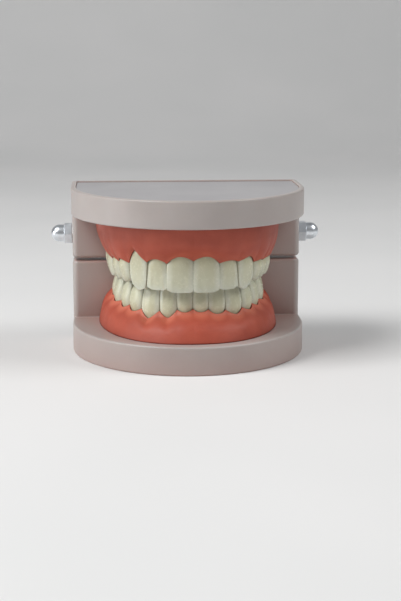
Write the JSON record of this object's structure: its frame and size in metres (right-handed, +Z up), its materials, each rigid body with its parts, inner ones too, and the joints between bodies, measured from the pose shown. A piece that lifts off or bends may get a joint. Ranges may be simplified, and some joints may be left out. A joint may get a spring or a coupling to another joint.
{
  "type": "typodont model",
  "caption": "Hinged dental teaching model: upper and lower D-shaped casings carry soft gums with separate push-in teeth and open like a jaw on a rear pin with cap nuts.",
  "frame": {"origin": "centre of the footprint on the table, lower casing standing on its rim", "axes": "+X to the model's left (a viewer's right), +Y from the front teeth to the hinge wall, +Z up; the hinge turns about X at the rear"},
  "size_m": [0.1008, 0.066, 0.06],
  "materials": {
    "casing": "pinkish grey moulded plastic, satin",
    "cover": "grey sheet, satin",
    "gum": "coral red, semi-gloss, soft",
    "tooth": "ivory, glossy",
    "cap_nut": "polished",
    "steel": "plain"
  },
  "bodies": {
    "lower_jaw": {"lower_base": "casing", "lower_cover": "cover", "lower_gum": "gum", "lower_gum_screws": "steel", "lower_left_canine": "tooth", "lower_left_central_incisor": "tooth", "lower_left_first_molar": "tooth", "lower_left_first_premolar": "tooth", "lower_left_lateral_incisor": "tooth", "lower_left_second_molar": "tooth", "lower_left_second_premolar": "tooth", "lower_right_canine": "tooth", "lower_right_central_incisor": "tooth", "lower_right_first_molar": "tooth", "lower_right_first_premolar": "tooth", "lower_right_lateral_incisor": "tooth", "lower_right_second_molar": "tooth", "lower_right_second_premolar": "tooth"},
    "upper_jaw": {"upper_base": "casing", "upper_cover": "cover", "upper_gum": "gum", "upper_gum_screws": "steel", "upper_left_canine": "tooth", "upper_left_central_incisor": "tooth", "upper_left_first_molar": "tooth", "upper_left_first_premolar": "tooth", "upper_left_lateral_incisor": "tooth", "upper_left_second_molar": "tooth", "upper_left_second_premolar": "tooth", "upper_right_canine": "tooth", "upper_right_central_incisor": "tooth", "upper_right_first_molar": "tooth", "upper_right_first_premolar": "tooth", "upper_right_lateral_incisor": "tooth", "upper_right_second_molar": "tooth", "upper_right_second_premolar": "tooth", "hinge_pin": "steel", "left_cap_nut": "cap_nut", "right_cap_nut": "cap_nut"}
  },
  "joints": [
    {"name": "jaw_hinge", "type": "hinge", "parent": "lower_jaw", "child": "upper_jaw", "pos_m": [0, 0.027, 0.041], "axis": [-1, 0, 0], "range_deg": [0, 100]}
  ]
}
